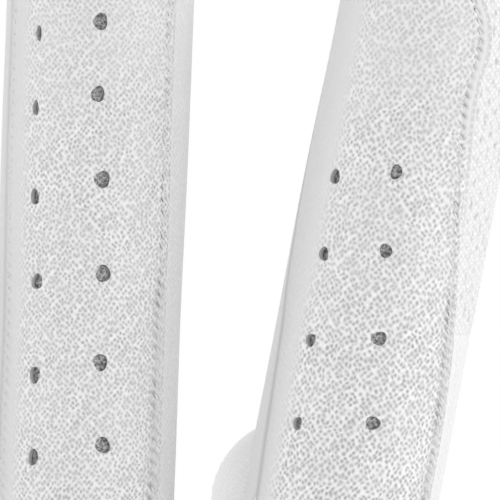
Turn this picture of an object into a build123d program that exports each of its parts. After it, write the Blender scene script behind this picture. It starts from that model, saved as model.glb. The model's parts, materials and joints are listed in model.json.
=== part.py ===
from build123d import *
import math
import os

# Golf glove for the left hand, standing on its cuff with the fingers up, as a hand fills it.
# +Z runs along the fingers, the back of the hand faces -Y and the thumb is on the +X side.
# The origin is the centre of the wrist opening, at the cuff's lower edge. Sizes are in mm.

# Materials
leather = 0.7          # every leather panel
lining = 0.4           # lining under the finger backs
loopPile = 0.8         # loop half of the closure
hookPile = 0.5         # hook half of the closure
tabLeather = 1.0       # leather face of the closure tab
elastic = 1.0          # gathering elastic
labelCloth = 0.4       # size label
underlayCloth = 0.6    # soft flap behind the wrist slit
bindingCloth = 0.6     # binding, on each side of what it wraps
slack = 0.3            # gap between pieces that move against each other
ease = 0.1             # gap at each end of a flex ring

# Hand: height, left edge, right edge, back and palm surface of each cross-section
below = 4.0            # the forms run on this far under the cuff, to be trimmed level
stations = [
    (-below, -40.6, 40.6, -25.4, 25.4),
    (18, -38, 38, -24, 24),
    (40, -40.5, 40.5, -23.5, 24),
    (64, -43, 43, -21.5, 23),
    (90, -44, 46, -19, 20.5),
    (118, -43, 49, -16.5, 17),
    (132, -42.5, 48, -13.5, 13.5),
]
webTop = [
    (140, -40, 45, -10, 10),
    (144, -37, 42, -5.5, 5.5),
]
roundness = 0.85       # corner radius of a cross-section, as a share of half its depth
webLap = 1.5           # how far a quirk laps the stalls on its two sides
webHeight = 7.0        # how far a quirk reaches down

# Fingers: the root is the middle of the finger at the height of the crotches
crotch = webTop[-1][0]
rootDepth = 26.0       # how far a finger's tube runs down inside the hand
hingeRise = 5.8        # from the crotches up to the line where a finger bends
flexGap = 0.6          # half the flex ring's height on the back of the finger
forkTaper = 17.0       # length over which a fork runs to a point
forkEnd = 7.0          # from the fork's point to the fingertip
tipInset = 0.6         # how much narrower a finger is where its tip begins
fingers = {
    "index": dict(root=43.0, lean=11.0, length=69.0, radius=10.7, bend=60.0, rows=4),
    "middle": dict(root=14.0, lean=2.1, length=84.0, radius=10.7, bend=60.0, rows=6),
    "ring": dict(root=-14.0, lean=-6.5, length=76.0, radius=10.6, bend=70.0, rows=5),
    "little": dict(root=-40.0, lean=-16.0, length=60.0, radius=9.5, bend=70.0, rows=3),
}
forkHalf = 5.8         # half the width of a fork, seen from the side
twistOuter = (0.9, -0.08)   # middle line of the index's outer fork: offset at the crotch, slope
twistInner = (-2.4, 0.106)  # middle line of the index's inner fork

# Perforations
holeRadius = 0.95
holePitch = 9.7
holeFromTip = 26.5     # first row
holeAngles = (-30.0, 15.0)  # the two columns, from the middle of the back towards the thumb
holeDrop = 1.2         # the first column sits this much lower

# Thumb
thenarLow = (32.0, 4.0, 38.0)
thenarRadius = 15.0
thumbRoot = (47.0, 20.0, 84.0)
thumbTip = (29.0, 45.0, 155.0)
thumbRadius = 12.0
thumbTipRadius = 9.7
thumbSeat = 6.0        # the thumb piece is sewn in this far above its root
thumbHinge = 27.0      # from the thumb's root to where it bends
thumbSwing = 35.0

# Cuff and closure
trim = 1.0             # the panels stop this far above the floor, inside the binding
bindingHeight = 7.0
slitHeight = 52.0
slitCentre = -2.0
slitMouth = 5.0        # half the slit's width at the cuff
slitTop = 0.8          # half its width at the top
slitHem = 3.0          # width of the binding round the slit
tabLow = 10.0
tabHigh = 42.0
tabRoot = 24.0         # where the tab leaves its sewn base
tabFree = -36.0        # free end
baseEnd = 36.0         # thumb side of the sewn base
patchInner = -10.0     # edges of the loop patch
patchOuter = -33.0
patchMargin = 4.0      # from the patches to the tab's long edges
elasticLow = 24.0
elasticHeight = 12.0
labelSize = (16.0, 12.0)
labelCentre = (20.0, 20.0)

# Layers of the closure, measured outwards from the hand
hookFoot = loopPile + slack
tabFoot = hookFoot + hookPile
tabFace = tabFoot + lining
tabTop = tabFace + tabLeather

far = 300.0            # larger than the glove


def block(x0, x1, y0, y1, z0, z1):
    """A box between two corners."""
    size = Box(x1 - x0, y1 - y0, z1 - z0)
    return Pos((x0 + x1) / 2, (y0 + y1) / 2, (z0 + z1) / 2) * size


def prismX(points, x0, x1):
    """A (y, z) outline carried from x0 to x1."""
    face = make_face(Plane.YZ * Polyline(*points, close=True))
    return Pos(x0, 0, 0) * extrude(face, x1 - x0, dir=(1, 0, 0))


def prismY(points, y0, y1):
    """An (x, z) outline carried from y0 to y1."""
    face = make_face(Plane.XZ * Polyline(*points, close=True))
    return Pos(0, y0, 0) * extrude(face, y1 - y0, dir=(0, 1, 0))


def section(station, grow):
    """One rounded cross-section of the hand, grown outwards."""
    z, left, right, back, palm = station
    width, depth = right - left + 2 * grow, palm - back + 2 * grow
    corner = roundness * (palm - back) / 2 + grow
    place = Pos((left + right) / 2, (back + palm) / 2, z)
    return place * RectangleRounded(width, depth, corner)


def handForm(grow=0.0):
    """The solid hand from the wrist to the crotches, grown outwards."""
    top = [(z + grow, *rest) for z, *rest in webTop]
    return loft([section(s, grow) for s in stations + top], ruled=True)


def tube(radius, tipRadius, bottom, length, grow=0.0):
    """A solid stall round the Z axis, with a domed tip."""
    r, t = radius + grow, tipRadius + grow
    middle = length - tipRadius
    side = Polyline((0, bottom), (r, bottom), (t, middle))
    diagonal = t * math.sqrt(0.5)
    dome = ThreePointArc((t, middle), (diagonal, middle + diagonal), (0, middle + t))
    axis = Line((0, middle + t), (0, bottom))
    return revolve(make_face(Plane.XZ * (side + dome + axis)), Axis.Z)


def stall(name, grow=0.0):
    """The solid of one finger in its own frame, down into the hand."""
    f = fingers[name]
    return tube(f["radius"], f["radius"] - tipInset, -rootDepth, f["length"], grow)


def fingerFrame(name):
    f = fingers[name]
    a = math.radians(f["lean"])
    across, along = (math.cos(a), 0, -math.sin(a)), (math.sin(a), 0, math.cos(a))
    return Plane((f["root"], 0, crotch), x_dir=across, z_dir=along).location


def wedge(hinge, radius, angle, pull):
    """Outline (closing side, along) of the room that a bend needs; pull shrinks it at each end."""
    reach = radius + 3
    gap = flexGap - pull
    rise = reach * math.tan(math.radians(angle / 2))
    low, high = hinge - gap, hinge + gap
    return [(-reach, low), (0, low), (reach, low - rise), (reach, high + rise), (0, high), (-reach, high)]


def facingEdge(name, side):
    """Where a finger's side stands at the height of the crotches."""
    f = fingers[name]
    return f["root"] + side * f["radius"] / math.cos(math.radians(f["lean"]))


def fingerWedge(name, pull=0.0):
    f = fingers[name]
    outline = wedge(hingeRise, f["radius"], f["bend"], pull)
    return prismX(outline, -far / 2, far / 2)


def lowerRoom(outline):
    """The room below a wedge, given the wedge's outline, down past the hand."""
    low = [outline[0], outline[1], outline[2]]
    return [*low, (outline[2][0], -far), (outline[0][0], -far)]


def forkOutline(name, side):
    """(y, along) outline of the side strip, tapering to a point near the fingertip."""
    f = fingers[name]
    start, slope = (twistOuter if side > 0 else twistInner) if name == "index" else (0.0, 0.0)
    low, shoulder = -rootDepth, f["length"] - forkEnd - forkTaper
    a, b = start + slope * low, start + slope * shoulder
    point = (0.0, f["length"] - forkEnd)
    return [(a - forkHalf, low), (b - forkHalf, shoulder), point, (b + forkHalf, shoulder), (a + forkHalf, low)]


def perforations(name):
    """The cutting pins of one finger's holes."""
    f = fingers[name]
    pins = Part()
    for row in range(f["rows"]):
        for angle, drop in zip(holeAngles, (holeDrop, 0.0)):
            along = f["length"] - holeFromTip - row * holePitch - drop
            pin = Pos(0, 0, f["radius"]) * Cylinder(holeRadius, f["radius"])
            pins += Pos(0, 0, along) * Rot(0, 0, angle) * Rot(90, 0, 0) * pin
    return pins


def fingerParts(name):
    """The leather, forks, lining and flex ring of one finger, in the finger's frame."""
    f = fingers[name]
    skin = stall(name) - stall(name, -leather)
    ring = skin & fingerWedge(name, ease)
    room = fingerWedge(name)
    floor = lowerRoom(wedge(hingeRise, f["radius"], f["bend"], 0.0))
    sleeve = skin - room - prismX(floor, -far / 2, far / 2)
    sides = {"inner": -1, "outer": 1} if name in ("index", "middle") else {"inner": 1, "outer": -1}
    parts = {}
    forks = Part()
    for word, side in sides.items():
        if name == "little" and word == "outer":
            continue
        strip = prismX(forkOutline(name, side), 0 if side > 0 else -far / 2, far / 2 if side > 0 else 0)
        parts[f"{name}_{word}_fork"] = sleeve & strip
        forks += strip
    backSide, palmSide = block(-far, far, -far, 0, -far, far), block(-far, far, 0, far, -far, far)
    parts[f"{name}_back"] = (sleeve & backSide) - forks - perforations(name)
    parts[f"{name}_palm"] = (sleeve & palmSide) - forks
    inside = stall(name, -leather) - stall(name, -leather - lining)
    inside = inside - room - prismX(floor, -far / 2, far / 2)
    parts[f"{name}_lining"] = inside & block(-far, far, -far, -forkHalf, -far, f["length"] - forkEnd - forkTaper)
    parts[f"{name}_flex"] = ring
    return parts


def thumbFrame():
    root, tip = Vector(*thumbRoot), Vector(*thumbTip)
    along = (tip - root).normalized()
    outward = (Vector(1, 0, 0) - along * along.X).normalized()
    return Plane(root, x_dir=outward, z_dir=along).location


def thumbLength():
    return (Vector(*thumbTip) - Vector(*thumbRoot)).length


def thumbStall(grow=0.0, bottom=0.0):
    return tube(thumbRadius, thumbTipRadius, bottom, thumbLength(), grow)


def thumbOutline(pull=0.0):
    return wedge(thumbHinge, thumbRadius, thumbSwing, pull)


def thumbLower():
    return prismY(lowerRoom(thumbOutline()), -far / 2, far / 2)


def thumbParts():
    """The thumb's two halves and its flex ring, in the thumb's frame."""
    skin = thumbStall() - thumbStall(-leather)
    ring = skin & prismY(thumbOutline(ease), -far / 2, far / 2)
    sleeve = skin - prismY(thumbOutline(), -far / 2, far / 2) - thumbLower()
    return {
        "thumb_palm": sleeve & block(-far, far, -far, 0, -far, far),
        "thumb_back": sleeve & block(-far, far, 0, far, -far, far),
        "thumb_flex": ring,
    }


def thenar(grow=0.0):
    """The fleshy root of the thumb, from the heel of the hand to the thumb's root."""
    low, high = Vector(*thenarLow), Vector(*thumbRoot)
    span = high - low
    body = Pos(0, 0, span.length / 2) * Cone(thenarRadius + grow, thumbRadius + grow, span.length)
    body += Sphere(thenarRadius + grow)
    body += Pos(0, 0, span.length) * Sphere(thumbRadius + grow)
    return Plane(low, z_dir=span.normalized()).location * body


def handSkin():
    """The hand's leather in one piece, and the thumb's sewn root."""
    floor = block(-far, far, -far, far, trim, far)
    frame = thumbFrame()
    outer = handForm() + thenar() + frame * (thumbStall() & thumbLower())
    inner = handForm(-leather) + thenar(-leather)
    for name, f in fingers.items():
        below = prismX(lowerRoom(wedge(hingeRise, f["radius"], f["bend"], 0.0)), -far / 2, far / 2)
        outer += fingerFrame(name) * (stall(name) & below)
        inner += fingerFrame(name) * stall(name, -leather)
    inner += frame * thumbStall(-leather)
    seat = frame * (thumbStall() & block(-far, far, -far, far, thumbSeat, far) & thumbLower())
    return ((outer - inner) & floor) - seat, seat - inner


def layer(low, high, outline, y0, y1):
    """A layer over the hand between two distances, cut to an (x, z) outline."""
    return (handForm(high) - handForm(low)) & prismY(outline, y0, y1)


def rectangle(x0, x1, z0, z1):
    return [(x0, z0), (x1, z0), (x1, z1), (x0, z1)]


def slitOutline(margin=0.0):
    """The wrist slit's outline, wider by a margin on each side."""
    top = slitHeight + margin
    mouth, tip = slitMouth + margin, slitTop + margin
    return [(slitCentre - mouth, -below), (slitCentre + mouth, -below), (slitCentre + tip, top), (slitCentre - tip, top)]


def tabOutline():
    """The tab's outline, with a round free end."""
    radius = (tabHigh - tabLow) / 2
    centre = (tabHigh + tabLow) / 2
    steps = [math.radians(90 + 180 * i / 12) for i in range(13)]
    end = [(tabFree + radius + radius * math.cos(a), centre + radius * math.sin(a)) for a in steps]
    return [*end, (tabRoot - slack, tabLow), (tabRoot - slack, tabHigh)]


def closureParts():
    """Everything that closes and finishes the wrist."""
    low, high = tabLow + patchMargin, tabHigh - patchMargin
    patch = rectangle(patchOuter, patchInner, low, high)
    hook = rectangle(patchOuter + 2, patchInner - 2, low + 2, high - 2)
    hem = layer(0, bindingCloth - 0.1, slitOutline(slitHem), -far, 0)
    hem = (hem - prismY(slitOutline(), -far, 0)) & block(-far, far, -far, 0, bindingHeight, far)
    underlay = slitOutline(2 * slitHem)
    underlay = layer(-leather - underlayCloth, -leather, underlay, -far, 0)
    x, z = labelCentre
    w, h = labelSize
    label = rectangle(x - w / 2, x + w / 2, z - h / 2, z + h / 2)
    band = rectangle(-far, far, elasticLow, elasticLow + elasticHeight)
    return {
        "loop_patch": layer(0, loopPile, patch, -far, 0),
        "hook_patch": layer(hookFoot, tabFoot, hook, -far, 0),
        "tab_lining": layer(tabFoot, tabFace, tabOutline(), -far, 0),
        "closure_tab": layer(tabFace, tabTop, tabOutline(), -far, 0),
        "tab_base": layer(0, tabTop, rectangle(tabRoot, baseEnd, tabLow, tabHigh), -far, 0),
        "slit_binding": hem,
        "slit_underlay": underlay & block(-far, far, -far, 0, bindingHeight + trim, far),
        "size_label": layer(-leather - labelCloth, -leather, label, -far, 0),
        "wrist_elastic": layer(-leather - elastic, -leather, band, stations[1][4] / 3, far),
    }


def cuffBinding(skin):
    """The bound lower edge, wrapped round the panels on both sides and open at the slit."""
    ring = handForm(bindingCloth) - handForm(-leather - bindingCloth)
    ring = ring & block(-far, far, -far, far, 0, bindingHeight)
    return ring - skin - prismY(slitOutline(), -far, 0)


def handParts():
    """The hand's panels, the quirks between the fingers and the cuff."""
    skin, base = handSkin()
    skin = skin - prismY(slitOutline(), -far, 0)
    parts = {"thumb_base": base, "cuff_binding": cuffBinding(skin)}
    names = list(fingers)
    webs = Part()
    for one, two in zip(names, names[1:]):
        left, right = facingEdge(two, 1) - webLap, facingEdge(one, -1) + webLap
        room = block(left, right, -forkHalf, forkHalf, crotch - webHeight, crotch + 2 * hingeRise)
        parts[f"web_{one}_{two}"] = skin & room
        webs += room
    panels = skin - webs
    parts["back_panel"] = panels & block(-far, far, -far, 0, -far, far)
    parts["palm_panel"] = panels & block(-far, far, 0, far, -far, far)
    return parts


def glove():
    parts = handParts() | closureParts()
    for name in fingers:
        for node, shape in fingerParts(name).items():
            parts[node] = fingerFrame(name) * shape
    for node, shape in thumbParts().items():
        parts[node] = thumbFrame() * shape
    return parts


os.makedirs("parts", exist_ok=True)
for node, shape in glove().items():
    export_step(shape, f"parts/{node}.step")
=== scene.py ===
import json
import math
import bmesh
import bpy
import numpy as np
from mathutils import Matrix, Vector
from mathutils.bvhtree import BVHTree


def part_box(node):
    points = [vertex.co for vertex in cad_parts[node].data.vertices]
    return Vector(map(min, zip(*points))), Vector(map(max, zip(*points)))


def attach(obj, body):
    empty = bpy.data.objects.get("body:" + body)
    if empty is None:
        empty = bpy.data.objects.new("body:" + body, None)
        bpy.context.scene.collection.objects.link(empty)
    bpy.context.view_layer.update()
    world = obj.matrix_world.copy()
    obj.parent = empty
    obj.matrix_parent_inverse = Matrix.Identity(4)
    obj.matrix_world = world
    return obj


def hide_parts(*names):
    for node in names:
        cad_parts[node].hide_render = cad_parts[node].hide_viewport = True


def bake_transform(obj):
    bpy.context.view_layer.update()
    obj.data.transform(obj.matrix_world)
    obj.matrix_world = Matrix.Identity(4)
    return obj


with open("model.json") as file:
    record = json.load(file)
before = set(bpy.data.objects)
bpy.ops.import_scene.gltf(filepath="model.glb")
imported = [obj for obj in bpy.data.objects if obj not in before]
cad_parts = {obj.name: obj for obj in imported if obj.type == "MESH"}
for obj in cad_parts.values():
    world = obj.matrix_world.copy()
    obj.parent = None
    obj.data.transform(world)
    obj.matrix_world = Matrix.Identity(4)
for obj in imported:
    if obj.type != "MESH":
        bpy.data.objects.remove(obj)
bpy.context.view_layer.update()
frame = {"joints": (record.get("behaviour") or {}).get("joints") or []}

mm = 0.001               # sizes below are written in millimetres
joints = {j["name"]: j for j in frame["joints"]}
fingerNames = ["index", "middle", "ring", "little"]
back = np.array([0, -1.0, 0])   # the way the back of the hand faces


def smooth(low, high, x):
    t = np.clip((np.asarray(x, float) - low) / (high - low), 0, 1)
    return t * t * (3 - 2 * t)


def hump(distance, width):
    # 1 at the middle, falling away smoothly on both sides
    return np.exp(-(distance / width) ** 2)


def wobble(a, b, seed):
    # gentle unevenness, between about -1 and 1, from a few crossed waves
    rng = np.random.RandomState(seed)
    total = 0
    for i in range(5):
        turn, phase, rate = rng.uniform(0, math.pi), rng.uniform(0, 2 * math.pi), 0.6 + 0.45 * i
        total = total + np.sin(rate * (a * math.cos(turn) + b * math.sin(turn)) + phase) / (1 + 0.5 * i)
    return total / 2.2


def deselect():
    bpy.ops.object.select_all(action="DESELECT")


def pick(*objs):
    deselect()
    for o in objs:
        o.select_set(True)
    bpy.context.view_layer.objects.active = objs[-1]


def modify(obj, kind, **settings):
    # adds a modifier with its settings and applies it
    pick(obj)
    m = obj.modifiers.new(kind.title(), kind)
    for key, value in settings.items():
        setattr(m, key, value)
    bpy.ops.object.modifier_apply(modifier=m.name)


def gather(name, objs):
    # joins several meshes into one named mesh
    pick(*objs)
    if len(objs) > 1:
        bpy.ops.object.join()
    joined = bpy.context.object
    joined.name = name
    joined.data.name = name
    return joined


def twin(obj, name):
    # a copy with its own mesh
    copy = obj.copy()
    copy.data = obj.data.copy()
    copy.name = name
    copy.data.name = name
    bpy.context.collection.objects.link(copy)
    return copy


def points(obj):
    # the mesh's points in millimetres
    co = np.empty(len(obj.data.vertices) * 3)
    obj.data.vertices.foreach_get("co", co)
    return co.reshape(-1, 3) / mm


def normals(obj):
    found = np.empty(len(obj.data.vertices) * 3)
    obj.data.vertices.foreach_get("normal", found)
    return found.reshape(-1, 3)


def setPoints(obj, co):
    obj.data.vertices.foreach_set("co", (np.asarray(co, float) * mm).ravel())
    obj.data.update()


def placed(co, x, y, z):
    # a shape's own coordinates laid along three directions
    return np.outer(co[:, 0], x) + np.outer(co[:, 1], y) + np.outer(co[:, 2], z)


def grid(name, across, along):
    # a flat grid of across by along points; returns it with each point's place in 0..1 both ways
    deselect()
    bpy.ops.mesh.primitive_grid_add(x_subdivisions=across - 1, y_subdivisions=along - 1, calc_uvs=True)
    obj = bpy.context.object
    obj.name = name
    obj.data.name = name
    flat = points(obj) * mm
    return obj, (flat[:, 0] + 1) / 2, (flat[:, 1] + 1) / 2


def writeUv(obj, u, v):
    # the pattern's own map, in millimetres
    layer = obj.data.uv_layers.active
    layer.name = "grain"
    corner = np.empty(len(obj.data.loops), int)
    obj.data.loops.foreach_get("vertex_index", corner)
    layer.data.foreach_set("uv", np.stack([u[corner], v[corner]], 1).ravel())


def paint(obj, name, values):
    # a value at each point, which a material reads by this name
    layer = obj.data.attributes.new(name, "FLOAT", "POINT")
    layer.data.foreach_set("value", np.asarray(values, np.float32))


def editAll(obj, operator, **settings):
    # one edit-mode operator on the whole mesh
    pick(obj)
    bpy.ops.object.mode_set(mode="EDIT")
    bpy.ops.mesh.select_all(action="SELECT")
    operator(**settings)
    bpy.ops.object.mode_set(mode="OBJECT")


def weld(obj, distance=0.002):
    # closes poles and seams
    editAll(obj, bpy.ops.mesh.remove_doubles, threshold=distance * mm)


def faceOut(obj):
    editAll(obj, bpy.ops.mesh.normals_make_consistent, inside=False)


def thicken(obj, thickness):
    # the outer face stays where it is and the wall grows inwards
    modify(obj, "SOLIDIFY", thickness=thickness * mm, offset=-1, use_even_offset=False)


def shade(obj, material, angle=50):
    obj.data.materials.clear()
    obj.data.materials.append(material)
    pick(obj)
    bpy.ops.object.shade_smooth_by_angle(angle=math.radians(angle))


def fasten(obj, body, slot, *cadNodes):
    # the piece takes the place of CAD nodes and moves with one body
    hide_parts(*cadNodes)
    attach(obj, body)


def bridge(obj):
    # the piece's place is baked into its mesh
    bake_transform(obj)


def trimBy(obj, field):
    # cuts a mesh along the line where field(points) is nought and takes away the part above it
    value = field(points(obj))
    value = np.where(np.abs(value) < 1e-4, -1e-4, value)
    bm = bmesh.new()
    bm.from_mesh(obj.data)
    bm.verts.ensure_lookup_table()
    level = {v: value[v.index] for v in bm.verts}
    cut = []
    for edge in list(bm.edges):
        a, b = edge.verts
        if level[a] * level[b] < 0:
            share = level[a] / (level[a] - level[b])
            cut.append(bmesh.utils.edge_split(edge, a, share)[1])
    for v in cut:
        level[v] = 0.0
    bmesh.ops.connect_verts(bm, verts=cut)
    above = [f for f in bm.faces if sum(level[v] for v in f.verts) > 0]
    bmesh.ops.delete(bm, geom=above, context="FACES")
    loose = [v for v in bm.verts if not v.link_faces]
    bmesh.ops.delete(bm, geom=loose, context="VERTS")
    bm.to_mesh(obj.data)
    bm.free()
    obj.data.update()


def linear(code):
    # an sRGB hex value as the linear colour that a shader wants
    parts = [int(code[i:i + 2], 16) / 255 for i in (1, 3, 5)]
    return [p / 12.92 if p <= 0.04045 else ((p + 0.055) / 1.055) ** 2.4 for p in parts] + [1]


def add(tree, kind, settings=None, **links):
    # one node with its settings; links are inputs by name, or by number as i0, i1 and so on
    node = tree.nodes.new(kind)
    settings = dict(settings or {})
    stops = settings.pop("stops", [])
    for key, value in settings.items():
        setattr(node, key, value)
    for key, value in links.items():
        named = not (key[0] == "i" and key[1:].isdigit())
        socket = node.inputs[key.replace("_", " ")] if named else node.inputs[int(key[1:])]
        if isinstance(value, bpy.types.NodeSocket):
            tree.links.new(value, socket)
        else:
            socket.default_value = value
    for i, (place, code) in enumerate(stops):
        band = node.color_ramp.elements
        stop = band[i] if i < 2 else band.new(place)
        stop.position = place
        stop.color = linear(code)
    return node


def newMaterial(name, roughness, **sockets):
    material = bpy.data.materials.new(name)
    material.use_nodes = True
    shader = material.node_tree.nodes["Principled BSDF"]
    shader.inputs["Roughness"].default_value = roughness
    for key, value in sockets.items():
        shader.inputs[key.replace("_", " ")].default_value = value
    return material, material.node_tree, shader


def mapIn(tree, byMap, turn=0.0):
    # coordinates in millimetres, from the piece's own map or from the object
    source = add(tree, "ShaderNodeTexCoord").outputs["UV" if byMap else "Object"]
    size = 1 if byMap else 1 / mm
    turned = add(tree, "ShaderNodeMapping", Vector=source, Scale=(size,) * 3, Rotation=(0, 0, turn))
    return turned.outputs["Vector"]


def finished(material, tree, shader, colour, bump):
    tree.links.new(colour, shader.inputs["Base Color"])
    tree.links.new(bump.outputs["Normal"], shader.inputs["Normal"])
    return material


def paintCreaseShade(tree, colour, creaseShade):
    # painted shade: the colour grows darker down in the creases, where shade falls
    shadow = add(tree, "ShaderNodeValToRGB", {"stops": [(0.0, "#FFFFFF"), (1.0, "#9A9A9A")]}, Fac=creaseShade)
    return add(tree, "ShaderNodeMix", {"data_type": "RGBA", "blend_type": "MULTIPLY"}, Factor=1.0,
               i6=colour, i7=shadow.outputs["Color"]).outputs[2]


leather = {
    "poreSpacing": 0.48,     # mm between pores
    "poreReach": (0.62, 0.9),    # how far a pore spreads, as a share of the spacing, small and large
    "poreSlant": 0.75,       # the grain runs askew, in radians
    "rippleShare": 0.5,      # how much of the grain is fine ripples between the pores
    "grainDepth": (1.15, 1.6),   # the grain's contrast, where it is faint and where it is strong
    "middle": 0.47,          # the grain's own mean
    "tone": 0.45,            # the tone of a smooth place, between ridge and pore
    "poreDepth": 0.055,      # mm
    "creaseDepth": 0.16,     # mm
    "roughness": 0.5,
    # from the ridges down to the bottom of a pore; the ridges' lightest tone is partly a painted glint
    "back": ["#FAFAFA", "#EDEDED", "#D9D9D9", "#AEAEAE"],
    # the palm's shades are lighter than the back's: painted light that stands in for the light on the thumb
    "palm": ["#FDFDFD", "#F6F6F6", "#ECECEC", "#CECECE"],
    "fork": ["#F9F9F9", "#F0F0F0", "#E3E3E3", "#C0C0C0"],
}


def leatherMaterial(name, shades, byMap, grain=1.0):
    # hair-sheep leather, drum dyed white: soft round pores joined by fine ripples, under a thin satin finish,
    # with painted shade where it folds into a seam, and nearly smooth where it was stretched
    material, tree, shader = newMaterial(name, leather["roughness"], Specular_IOR_Level=0.4)
    where = mapIn(tree, byMap)
    drift = add(tree, "ShaderNodeTexNoise", Vector=where, Scale=0.5, Detail=1.0)
    shift = add(tree, "ShaderNodeVectorMath", {"operation": "SCALE"}, i0=drift.outputs["Color"], Scale=0.6)
    moved = add(tree, "ShaderNodeVectorMath", {"operation": "ADD"}, i0=where, i1=shift.outputs["Vector"])
    slant = add(tree, "ShaderNodeMapping", Vector=moved.outputs["Vector"], Scale=(1.0, 0.86, 1.0),
                Rotation=(0, 0, leather["poreSlant"]))
    dims = "2D" if byMap else "3D"
    cells = add(tree, "ShaderNodeTexVoronoi", {"voronoi_dimensions": dims, "feature": "F1"},
                Vector=slant.outputs["Vector"], Scale=1 / leather["poreSpacing"], Randomness=0.55)
    # where the skin's fine folds run, pores spread and join
    run = add(tree, "ShaderNodeMapping", Vector=slant.outputs["Vector"], Scale=(1.5, 0.5, 1.0))
    skinFolds = add(tree, "ShaderNodeTexNoise", Vector=run.outputs["Vector"], Scale=0.9, Detail=1.0)
    small, large = leather["poreReach"]
    spread = add(tree, "ShaderNodeMapRange", Value=skinFolds.outputs["Fac"], i1=0.3, i2=0.7, i3=small,
                 i4=large)
    pores = add(tree, "ShaderNodeMapRange", {"interpolation_type": "SMOOTHSTEP"},
                Value=cells.outputs["Distance"], i1=0.0, i2=spread.outputs["Result"], i3=1.0, i4=0.0)
    ripples = add(tree, "ShaderNodeTexGabor", {"gabor_type": dims}, Vector=slant.outputs["Vector"],
                  Scale=0.5 / leather["poreSpacing"], Frequency=2.0, Anisotropy=0.12)
    both = add(tree, "ShaderNodeMix", Factor=leather["rippleShare"], i2=pores.outputs["Result"],
               i3=ripples.outputs["Value"])
    patches = add(tree, "ShaderNodeTexNoise", Vector=where, Scale=0.2, Detail=1.0)
    faint, strong = leather["grainDepth"]
    depth = add(tree, "ShaderNodeMapRange", Value=patches.outputs["Fac"], i1=0.3, i2=0.7, i3=faint * grain,
                i4=strong * grain)
    plain = add(tree, "ShaderNodeAttribute", {"attribute_name": "plain"})
    left = add(tree, "ShaderNodeMath", {"operation": "SUBTRACT"}, i0=1.0, i1=plain.outputs["Fac"])
    kept = add(tree, "ShaderNodeMath", {"operation": "MULTIPLY"}, i0=left.outputs["Value"],
               i1=depth.outputs["Result"])
    # the grain varies about its own middle, so a smooth place keeps the same tone
    level = add(tree, "ShaderNodeMath", {"operation": "SUBTRACT"}, i0=both.outputs["Result"],
                i1=leather["middle"])
    deep = add(tree, "ShaderNodeMath", {"operation": "MULTIPLY_ADD"}, i0=level.outputs["Value"],
               i1=kept.outputs["Value"], i2=leather["tone"])
    stops = list(zip((0.0, 0.25, 0.55, 1.0), leather[shades]))
    colour = add(tree, "ShaderNodeValToRGB", {"stops": stops}, Fac=deep.outputs["Value"])
    # painted shade down in the creases; the same creases also sink the bump
    creaseShade = add(tree, "ShaderNodeAttribute", {"attribute_name": "creaseShade"})
    tinted = paintCreaseShade(tree, colour.outputs["Color"], creaseShade.outputs["Fac"])
    sunk = add(tree, "ShaderNodeMath", {"operation": "MULTIPLY_ADD"}, i0=creaseShade.outputs["Fac"],
               i1=leather["creaseDepth"] / leather["poreDepth"], i2=deep.outputs["Value"])
    bump = add(tree, "ShaderNodeBump", {"invert": True}, Height=sunk.outputs["Value"],
               Distance=leather["poreDepth"] * mm)
    return finished(material, tree, shader, tinted, bump)


def liningMaterial():
    # grey polyester tricot: fine loops with loose fibres, seen through the perforations
    material, tree, shader = newMaterial("greyTricotLining", 0.9, Specular_IOR_Level=0.2)
    where = mapIn(tree, True)
    loops = add(tree, "ShaderNodeTexNoise", Vector=where, Scale=2.6, Detail=3.0, Roughness=0.7)
    stops = [(0.38, "#6E6E70"), (0.5, "#ABABAD"), (0.6, "#E0E0E2")]
    colour = add(tree, "ShaderNodeValToRGB", {"stops": stops}, Fac=loops.outputs["Fac"])
    bump = add(tree, "ShaderNodeBump", Height=loops.outputs["Fac"], Distance=0.12 * mm)
    return finished(material, tree, shader, colour.outputs["Color"], bump)


def threadMaterial():
    # bonded polyester thread: twisted plies with a low sheen
    material, tree, shader = newMaterial("bondedThread", 0.5, Sheen_Weight=0.2)
    where = mapIn(tree, False)
    twist = add(tree, "ShaderNodeTexWave", {"bands_direction": "DIAGONAL"}, Vector=where, Scale=1.6,
                Distortion=1.5)
    stops = [(0.0, "#DADADA"), (0.5, "#EEEEEE")]
    colour = add(tree, "ShaderNodeValToRGB", {"stops": stops}, Fac=twist.outputs["Fac"])
    bump = add(tree, "ShaderNodeBump", Height=twist.outputs["Fac"], Distance=0.03 * mm)
    return finished(material, tree, shader, colour.outputs["Color"], bump)


def clothMaterial(name, light, dark, pitch, depth=0.1, roughness=0.85, byMap=False, turn=0.0):
    # a woven, ribbed or knitted cloth: crossed threads at their real pitch in millimetres
    material, tree, shader = newMaterial(name, roughness, Sheen_Weight=0.15, Specular_IOR_Level=0.25)
    where = mapIn(tree, byMap, turn=turn)
    distortion = 1.2 if byMap else 0.5
    weave = [add(tree, "ShaderNodeTexWave", {"bands_direction": way}, Vector=where, Detail=1.0,
                 Scale=math.pi / 10 / pitch, Distortion=distortion) for way in ("X", "Y" if byMap else "Z")]
    both = add(tree, "ShaderNodeMath", {"operation": "MULTIPLY"}, i0=weave[0].outputs["Fac"],
               i1=weave[1].outputs["Fac"])
    stops = [(0.0, dark), (0.4, light)]
    colour = add(tree, "ShaderNodeValToRGB", {"stops": stops}, Fac=both.outputs["Value"])
    # painted shade down in the creases, on pieces that carry them
    creaseShade = add(tree, "ShaderNodeAttribute", {"attribute_name": "creaseShade"})
    tinted = paintCreaseShade(tree, colour.outputs["Color"], creaseShade.outputs["Fac"])
    bump = add(tree, "ShaderNodeBump", Height=both.outputs["Value"], Distance=depth * mm)
    return finished(material, tree, shader, tinted, bump)


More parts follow.
